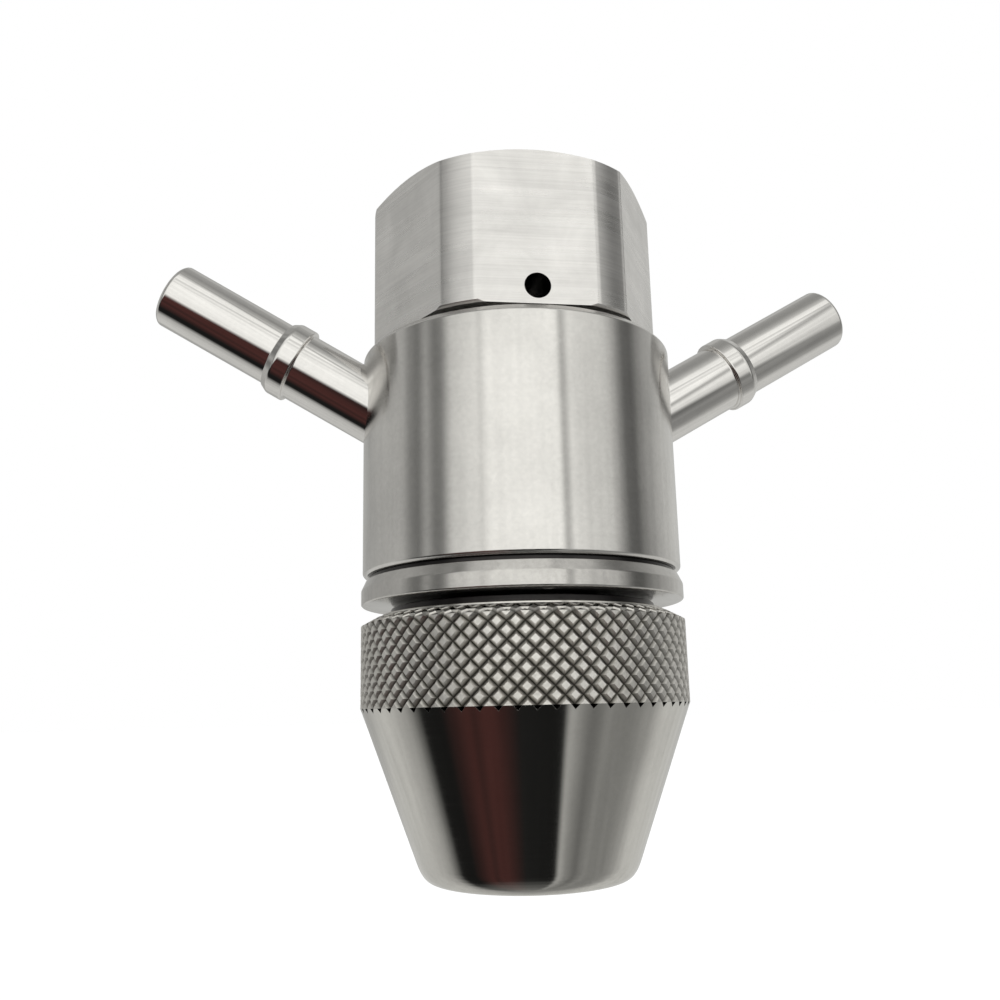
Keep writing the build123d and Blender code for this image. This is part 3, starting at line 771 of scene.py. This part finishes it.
# ----------------------------------------
# The nose nut: the polished cone, its bore and the plain seat that the knurled band stands on. It
# is one stainless turning with the band, screwed on to the chuck body.
nose_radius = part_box("nose_nut")[1].x
band_bottom, band_height = 24.0 * mm, 11.7 * mm
rim_width, rim_height = 2.2 * mm, 1.2 * mm
groove_depth = 0.52 * mm
band_seat = nose_radius - rim_width - groove_depth
knurl_teeth = 62
tip_flat, tip_radius, tip_height, tip_steps = 14.1 * mm, 15.6 * mm, 1.5 * mm, 10
tip_pull, tip_run = 0.4 * mm, 1 * mm
cone_slope = (nose_radius - tip_radius) / (band_bottom - tip_height)
corner_land, level_play, tip_play = 0.03 * mm, 0.02 * mm, 0.1 * mm
band_top = band_bottom + band_height
rim_top = band_top + rim_height
nut_outline = []
for r, z in outline_of("nose_nut"):
    beyond_seat = r > band_seat
    if beyond_seat and abs(z - band_top) < level_play:
        nut_outline.append((band_seat, band_bottom))
    elif beyond_seat and abs(z - rim_top) < level_play:
        nut_outline.append((band_seat, z))
    elif r < tip_flat - tip_play or z > tip_height + tip_play or z < tip_play:
        nut_outline.append((r, z))
cone_top = next(
    i for i, (r, z) in enumerate(nut_outline) if r > band_seat + hair and abs(z - band_bottom) < level_play
)
tip_foot = next(
    i for i, (r, z) in enumerate(nut_outline) if z < tip_play and abs(r - tip_flat) < tip_play
)
climb = 1 if cone_top > tip_foot else -1
tip_corners = (
    (tip_flat - tip_pull, 0.0),
    (tip_radius - tip_height * cone_slope, 0.0),
    (tip_radius + tip_run * cone_slope, tip_height + tip_run),
)
round_tip = []
for step in range(tip_steps + 1):
    t = step / tip_steps
    weights = ((1 - t) ** 2, 2 * t * (1 - t), t**2)
    spot = [sum(w * corner[axis] for w, corner in zip(weights, tip_corners)) for axis in (0, 1)]
    round_tip.append(tuple(spot))
nut_outline.insert(cone_top + max(climb, 0), (nose_radius - corner_land, band_bottom))
tip_foot += 1 if climb < 0 else 0
nut_outline[tip_foot : tip_foot + 1] = round_tip[::climb]
nose_steel = turned_metal(
    "nose_steel", (0.68, 0.665, 0.63), 0.11, marks=0.4 * mm, depth=0.0005 * mm, anisotropy=0.6, blotch=0.03
)
steps_per_tooth = 4


def groove_ends(r, z, step):
    """Lowers the cone's upper edge along the cone between the teeth, where the knurl's grooves run out."""
    on_groove = step % steps_per_tooth == steps_per_tooth // 2
    on_upper_edge = r > nose_radius - edge_play and z > band_bottom - edge_play
    if on_groove and on_upper_edge:
        return r - groove_run, z - groove_run / cone_slope
    return r, z


groove_run, edge_play = 0.24 * mm, 0.1 * mm
nose = turned("nose_cone", nut_outline, steps=knurl_teeth * steps_per_tooth, shifted=groove_ends)
fitted(nose, "nose_nut", "turned_steel", nose_steel, "nose_nut")

# ----------------------------------------
# The knurl on the nut: a diamond pattern rolled into the band and over its top chamfer. Each tooth
# is a pyramid with its tip rolled flat, and the teeth stand in rows that are offset by half a
# tooth.


def knurl_tree():
    """The node tree that sets teeth in staggered rows, bends them round the nut, and closes the band."""
    sockets = {
        "Teeth": "Int", "Band Rows": "Int", "Rim Rows": "Int", "Radius": "Float", "Bottom": "Float",
        "Band Height": "Float", "Rim Width": "Float", "Rim Height": "Float", "Groove Depth": "Float",
        "Tip Share": "Float", "Seat Radius": "Float", "Finish": "Material",
    }
    tree, given, add = input_tree("rolled_knurl", sockets)

    def reckon(operation, *values):
        inputs = {f"_{number}": value for number, value in enumerate(values)}
        return add("ShaderNodeMath", {"operation": operation}, **inputs).outputs[0]

    def vector(x=0.0, y=0.0, z=0.0):
        return add("ShaderNodeCombineXYZ", X=x, Y=y, Z=z).outputs[0]

    def position():
        return add("ShaderNodeSeparateXYZ", _0=add("GeometryNodeInputPosition").outputs[0]).outputs

    def length(x, y):
        return reckon("SQRT", reckon("ADD", reckon("MULTIPLY", x, x), reckon("MULTIPLY", y, y)))

    # Flat rows: one unit wide for a tooth, and one unit high for half a tooth.
    rows = reckon("ADD", given["Band Rows"], given["Rim Rows"])
    points = add("GeometryNodePoints", Count=reckon("MULTIPLY", given["Teeth"], reckon("ADD", rows, 1.0)))
    number = add("GeometryNodeInputIndex").outputs[0]
    row = reckon("FLOOR", reckon("DIVIDE", number, given["Teeth"]))
    stagger = reckon("MULTIPLY", reckon("MODULO", row, 2.0), 0.5)
    place_in_row = reckon("ADD", reckon("MODULO", number, given["Teeth"]), stagger)
    tree.links.new(vector(place_in_row, row), points.inputs["Position"])
    tooth = add(
        "GeometryNodeMeshCone", {"fill_type": "TRIANGLE_FAN"},
        Vertices=4, Depth=1.0, Radius_Bottom=1.0, Radius_Top=given["Tip Share"],
    )
    open_tooth = add(
        "GeometryNodeDeleteGeometry", {"domain": "FACE"},
        Geometry=tooth.outputs["Mesh"], Selection=tooth.outputs["Bottom"],
    )
    narrow = add("GeometryNodeTransform", Geometry=open_tooth.outputs[0], Scale=(0.5, 1.0, 1.0))
    spread = add("GeometryNodeInstanceOnPoints", Points=points.outputs[0], Instance=narrow.outputs[0])
    real = add("GeometryNodeRealizeInstances", _0=spread.outputs[0])
    place = position()
    below, above = reckon("LESS_THAN", place["Y"], 0.0), reckon("GREATER_THAN", place["Y"], rows)
    trimmed = add(
        "GeometryNodeDeleteGeometry", {"domain": "FACE"},
        Geometry=real.outputs[0], Selection=reckon("MAXIMUM", below, above),
    )

    # The rows bent round the nut: up the band, then in over the rim.
    place = position()
    up_band = reckon("MINIMUM", reckon("DIVIDE", place["Y"], given["Band Rows"]), 1.0)
    past_band = reckon("SUBTRACT", place["Y"], given["Band Rows"])
    over_rim = reckon("MAXIMUM", reckon("DIVIDE", past_band, given["Rim Rows"]), 0.0)
    leaning = reckon("MINIMUM", reckon("MAXIMUM", reckon("ADD", past_band, 0.5), 0.0), 1.0)
    slant = length(given["Rim Width"], given["Rim Height"])
    turned_in = reckon("SUBTRACT", 1.0, reckon("DIVIDE", given["Rim Height"], slant))
    out_share = reckon("SUBTRACT", 1.0, reckon("MULTIPLY", leaning, turned_in))
    up_share = reckon("MULTIPLY", leaning, reckon("DIVIDE", given["Rim Width"], slant))
    sunk = reckon("MULTIPLY", given["Groove Depth"], reckon("SUBTRACT", 1.0, place["Z"]))
    tip_reach = reckon("SUBTRACT", given["Radius"], reckon("MULTIPLY", given["Rim Width"], over_rim))
    reach = reckon("SUBTRACT", tip_reach, reckon("MULTIPLY", sunk, out_share))
    tip_rise = reckon("ADD", given["Bottom"], reckon("MULTIPLY", given["Band Height"], up_band))
    tip_level = reckon("ADD", tip_rise, reckon("MULTIPLY", given["Rim Height"], over_rim))
    height = reckon("SUBTRACT", tip_level, reckon("MULTIPLY", sunk, up_share))
    angle = reckon("MULTIPLY", reckon("DIVIDE", place["X"], given["Teeth"]), 2 * pi)
    kept_height = add("GeometryNodeCaptureAttribute", Geometry=trimmed.outputs[0])
    kept_height.capture_items.new("FLOAT", "Height")
    tree.links.new(place["Z"], kept_height.inputs["Height"])
    bent_x = reckon("MULTIPLY", reach, reckon("COSINE", angle))
    bent_y = reckon("MULTIPLY", reach, reckon("SINE", angle))
    bent = add(
        "GeometryNodeSetPosition",
        Geometry=kept_height.outputs["Geometry"], Position=vector(bent_x, bent_y, height),
    )
    merged = add("GeometryNodeMergeByDistance", Geometry=bent.outputs[0], Distance=near)

    # How far each point lies below the tooth tips is kept, for the painted shade in the grooves.
    depth = reckon("SUBTRACT", 1.0, kept_height.outputs["Height"])
    worn = add("GeometryNodeStoreNamedAttribute", Name="groove", Geometry=merged.outputs[0], Value=depth)

    # The open edges are drawn in to the seat, and the upper one down to the lower one.
    def drawn_in(geometry, selection):
        return add(
            "GeometryNodeExtrudeMesh", {"mode": "EDGES"}, Mesh=geometry, Selection=selection, Offset_Scale=0.0
        ).outputs

    def is_open_edge():
        faces_beside = add("GeometryNodeInputMeshEdgeNeighbors").outputs[0]
        return reckon("LESS_THAN", faces_beside, 1.5)

    lip = drawn_in(worn.outputs[0], is_open_edge())
    place = position()
    scale = reckon("DIVIDE", given["Seat Radius"], length(place["X"], place["Y"]))
    top = reckon("ADD", reckon("ADD", given["Bottom"], given["Band Height"]), given["Rim Height"])
    middle = reckon("ADD", given["Bottom"], reckon("MULTIPLY", given["Band Height"], 0.5))
    is_upper = reckon("GREATER_THAN", place["Z"], middle)
    lift = reckon("MULTIPLY", is_upper, reckon("SUBTRACT", top, given["Bottom"]))
    seat_x, seat_y = reckon("MULTIPLY", place["X"], scale), reckon("MULTIPLY", place["Y"], scale)
    on_seat = vector(seat_x, seat_y, reckon("ADD", given["Bottom"], lift))
    seated = add("GeometryNodeSetPosition", Geometry=lip["Mesh"], Position=on_seat, Selection=lip["Top"])
    is_upper = reckon("GREATER_THAN", position()["Z"], middle)
    wall = drawn_in(seated.outputs[0], reckon("MULTIPLY", is_open_edge(), is_upper))
    place = position()
    at_foot = vector(place["X"], place["Y"], given["Bottom"])
    closed = add("GeometryNodeSetPosition", Geometry=wall["Mesh"], Position=at_foot, Selection=wall["Top"])
    joined = add("GeometryNodeMergeByDistance", Geometry=closed.outputs[0], Distance=near)
    tree_ended(add, joined.outputs[0], given["Finish"])
    return tree


knurled_steel, add, shade = new_material("knurled_steel")
depth_below_tips = add("ShaderNodeAttribute", {"attribute_name": "groove"})
spot = add("ShaderNodeTexCoord").outputs["Object"]
pressed = add("ShaderNodeTexNoise", Vector=spot, Scale=1500.0, Detail=5.0, Roughness=0.65)
patches = add("ShaderNodeTexNoise", Vector=spot, Scale=120.0, Detail=3.0)
dull_steel, bright_steel, painted_groove_shade = (0.68, 0.66, 0.61, 1), (0.86, 0.84, 0.81, 1), (0.14, 0.135, 0.12, 1)
steel = add(
    "ShaderNodeMix", {"data_type": "RGBA"}, _0=patches.outputs["Fac"], _6=dull_steel, _7=bright_steel
)
# The knurl's grooves are painted darker towards their bottoms: painted shade in the grooves.
groove_shade_share = add("ShaderNodeMapRange", _0=depth_below_tips.outputs["Fac"], _1=0.2, _2=1.0)
groove_shaded_steel = add(
    "ShaderNodeMix", {"data_type": "RGBA"}, _0=groove_shade_share.outputs["Result"], _6=steel.outputs[2], _7=painted_groove_shade
)
rough = add("ShaderNodeMapRange", _0=pressed.outputs["Fac"], _1=0.3, _2=0.7, _3=0.26, _4=0.5)
bump = add("ShaderNodeBump", Height=pressed.outputs["Fac"], Distance=0.06 * mm, Strength=1.0)
shade(Base_Color=groove_shaded_steel.outputs[2], Roughness=rough.outputs["Result"], Normal=bump.outputs["Normal"])
shade(Metallic=1.0)
knurl = grown(
    "knurled_band",
    knurl_tree(),
    {
        "Teeth": knurl_teeth, "Band Rows": 10, "Rim Rows": 2, "Radius": nose_radius, "Bottom": band_bottom,
        "Band Height": band_height, "Rim Width": rim_width, "Rim Height": rim_height,
        "Groove Depth": groove_depth, "Tip Share": 0.5, "Seat Radius": band_seat, "Finish": knurled_steel,
    },
)
fitted(knurl, "nose_nut", "turned_steel", knurled_steel, "nose_nut")

# ----------------------------------------
# The studio: a pale room of soft light with dark flags for the steel to mirror, a pale floor below
# the head, and the camera close in front of it, a little to the left of the weep hole, looking
# slightly up.
camera_distance, camera_height = 147.0 * mm, band_bottom - 0.2 * mm
camera_side = radians(-99.6)
heading, pitch_up, roll = radians(81.55), radians(12.0), radians(-1.32)
looking = Vector((cos(heading) * cos(pitch_up), sin(heading) * cos(pitch_up), sin(pitch_up)))
rightward = Vector((sin(heading), -cos(heading), 0))
upward = rightward.cross(looking)
camera = bpy.data.objects.new("camera", bpy.data.cameras.new("camera"))
camera_place = (camera_distance * cos(camera_side), camera_distance * sin(camera_side), camera_height)
aim = Matrix((rightward, upward, -looking)).transposed().to_4x4() @ Matrix.Rotation(roll, 4, "Z")
camera.matrix_world = Matrix.Translation(camera_place) @ aim
camera.data.lens = 35.1
camera.data.sensor_width = 36.0
camera.data.clip_start = 1 * mm
bpy.context.scene.collection.objects.link(camera)
bpy.context.scene.camera = camera

world = bpy.data.worlds.new("studio")
bpy.context.scene.world = world
world.use_nodes = True
world.node_tree.nodes.clear()
world_node, fill = node_adder(world.node_tree)


def room_wall(stops):
    """The room's light by bearing in degrees: 0 is in front, -90 on the left and 90 on the right."""
    ramp = world_node("ShaderNodeValToRGB", _0=compass.outputs["Result"])
    band = ramp.color_ramp
    band.interpolation = "LINEAR"
    while len(band.elements) > 1:
        band.elements.remove(band.elements[-1])
    for number, (bearing, colour) in enumerate(stops):
        place = (bearing + 180) / 360
        element = band.elements[0] if number == 0 else band.elements.new(place)
        element.position = place
        element.color = (*colour, 1) if isinstance(colour, tuple) else (colour, colour, colour * 0.97, 1)
    return ramp.outputs["Color"]


way = world_node("ShaderNodeTexCoord").outputs["Generated"]
turned_way = world_node(
    "ShaderNodeVectorRotate", {"rotation_type": "Z_AXIS"}, Vector=way, Angle=-camera_side
)
parts = world_node("ShaderNodeSeparateXYZ", Vector=turned_way.outputs["Vector"])
bearing = world_node(
    "ShaderNodeMath", {"operation": "ARCTAN2"}, _0=parts.outputs["Y"], _1=parts.outputs["X"]
)
compass = world_node("ShaderNodeMapRange", _0=bearing.outputs[0], _1=-pi, _2=pi)
dark_brown, deep_brown = (0.075, 0.029, 0.026), (0.048, 0.022, 0.020)
walls = room_wall(
    [
        (-180, 0.52), (-138, 0.40), (-122, 0.46), (-91, 0.48), (-83, 0.26), (-75, 0.17), (-68, 0.42),
        (-61, 0.19), (-55, 0.22), (-48, 0.68), (-36, 0.84), (-29, 0.98), (-25, 0.78), (-23, 1.06),
        (-15, 1.10), (29, 1.14), (33, 0.42), (38, 0.98), (50, 0.80), (68, 0.70), (75, 0.40), (83, 0.14),
        (91, 0.11), (99, 0.26), (109, 0.38), (121, 0.52), (140, 0.62), (180, 0.52),
    ]
)
ground = room_wall(
    [
        (-180, 0.64), (-115, 0.64), (-97, 0.46), (-89, 0.22), (-82, 0.012), (-66, 0.012), (-53, deep_brown),
        (-45, dark_brown), (-40, deep_brown), (-34, dark_brown), (-26, dark_brown), (-17, deep_brown),
        (-4, 0.016), (31, 0.012), (36, 0.50), (44, 0.30), (54, 0.17), (67, 0.31), (76, 0.26), (88, 0.28),
        (97, 0.33), (107, 0.46), (117, 0.66), (180, 0.64),
    ]
)
split = world_node("ShaderNodeMapRange", _0=parts.outputs["Z"], _1=-0.30, _2=-0.12)
split.interpolation_type = "SMOOTHSTEP"
streak_way = world_node("ShaderNodeMapping", Vector=turned_way.outputs["Vector"], Scale=(14, 14, 1.2))
streaks = world_node(
    "ShaderNodeTexNoise", Vector=streak_way.outputs["Vector"], Scale=1.0, Detail=6.0, Roughness=0.75
)
shadings = world_node("ShaderNodeMapRange", _0=streaks.outputs["Fac"], _1=0.3, _2=0.7, _3=0.84, _4=1.14)
seen = world_node("ShaderNodeMix", {"data_type": "RGBA"}, _0=split.outputs["Result"], _6=ground, _7=walls)
streaked = world_node(
    "ShaderNodeVectorMath", {"operation": "SCALE"}, _0=seen.outputs[2], Scale=shadings.outputs["Result"]
)
level = world_node("ShaderNodeMapRange", _0=parts.outputs["Z"], _1=-1.0, _2=1.0)
shelves = world_node("ShaderNodeValToRGB", _0=level.outputs["Result"])
shades = [
    (-1, 0.9), (-0.97, 0.5), (-0.8, 0.0), (-0.16, 0.0), (-0.08, 0.1), (0.0, 0.0), (0.5, 0.0), (0.56, 0.35),
    (0.62, 0.0), (0.7, 0.5), (0.74, 0.0), (0.85, 0.15), (0.9, 0.6), (1.0, 0.3),
]
for number, (sine, shade) in enumerate(shades):
    place = (sine + 1) / 2
    element = shelves.color_ramp.elements[0] if number == 0 else shelves.color_ramp.elements.new(place)
    element.position = place
    element.color = (shade, shade, shade, 1)
shelves.color_ramp.elements.remove(shelves.color_ramp.elements[-1])
beam_grey = (0.32, 0.32, 0.31, 1)
overhead = world_node(
    "ShaderNodeMix",
    {"data_type": "RGBA"},
    _0=shelves.outputs["Color"],
    _6=streaked.outputs["Vector"],
    _7=beam_grey,
)
mirrored = world_node("ShaderNodeBackground", Color=overhead.outputs[2], Strength=1.0)
plain = world_node("ShaderNodeBackground", Color=(1.0, 1.0, 1.0, 1), Strength=1.0)
rays = world_node("ShaderNodeLightPath")
either = world_node(
    "ShaderNodeMixShader", _0=rays.outputs["Is Glossy Ray"], _1=plain.outputs[0], _2=mirrored.outputs[0]
)
world_node("ShaderNodeOutputWorld", Surface=either.outputs[0])

floor_drop, floor_reach = 60 * mm, 6.0
floor_ways = ((-1, -1), (1, -1), (1, 1), (-1, 1))
floor_corners = [(x * floor_reach, y * floor_reach, -floor_drop) for x, y in floor_ways]
floor_mesh = bpy.data.meshes.new("floor")
floor_mesh.from_pydata(floor_corners, [], [(0, 1, 2, 3)])
floor = bpy.data.objects.new("floor", floor_mesh)
bpy.context.scene.collection.objects.link(floor)
floor_paint, add, shade = new_material("floor_paint")
shade(Base_Color=(0.95, 0.95, 0.95, 1), Roughness=1.0, Specular_IOR_Level=0.0)
shade(Emission_Color=(1, 1, 1, 1), Emission_Strength=0.12)
floor_mesh.materials.append(floor_paint)
floor.visible_glossy = False
bpy.context.scene.view_settings.view_transform = "Standard"
